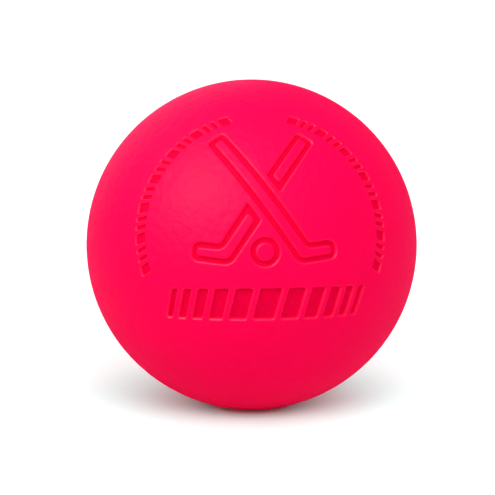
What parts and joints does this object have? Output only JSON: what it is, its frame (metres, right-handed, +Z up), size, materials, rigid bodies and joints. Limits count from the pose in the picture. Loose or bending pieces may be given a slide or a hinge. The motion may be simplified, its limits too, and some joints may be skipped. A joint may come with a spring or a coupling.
{
  "type": "street hockey ball",
  "caption": "Hollow low-bounce ball for street hockey: satin pink vinyl half shells cemented together at a tongue-and-groove seam, with only air inside.",
  "frame": {"origin": "centre of the ball", "axes": "+Z up as the ball lies on a floor, -Y to the front: the marked front pole faces -Y and is rolled up 14.5 degrees above the horizon, and the seam is the great circle square to that pole"},
  "size_m": [0.065, 0.065, 0.065],
  "materials": {
    "vinyl": "satin, moulded against a fine blasted mould, fluorescent pink",
    "cement": "cured vinyl cement, half gloss, tinted pink"
  },
  "bodies": {
    "root": {"front_half_shell": "vinyl", "rear_half_shell": "vinyl", "seam_cement": "cement"}
  },
  "joints": []
}
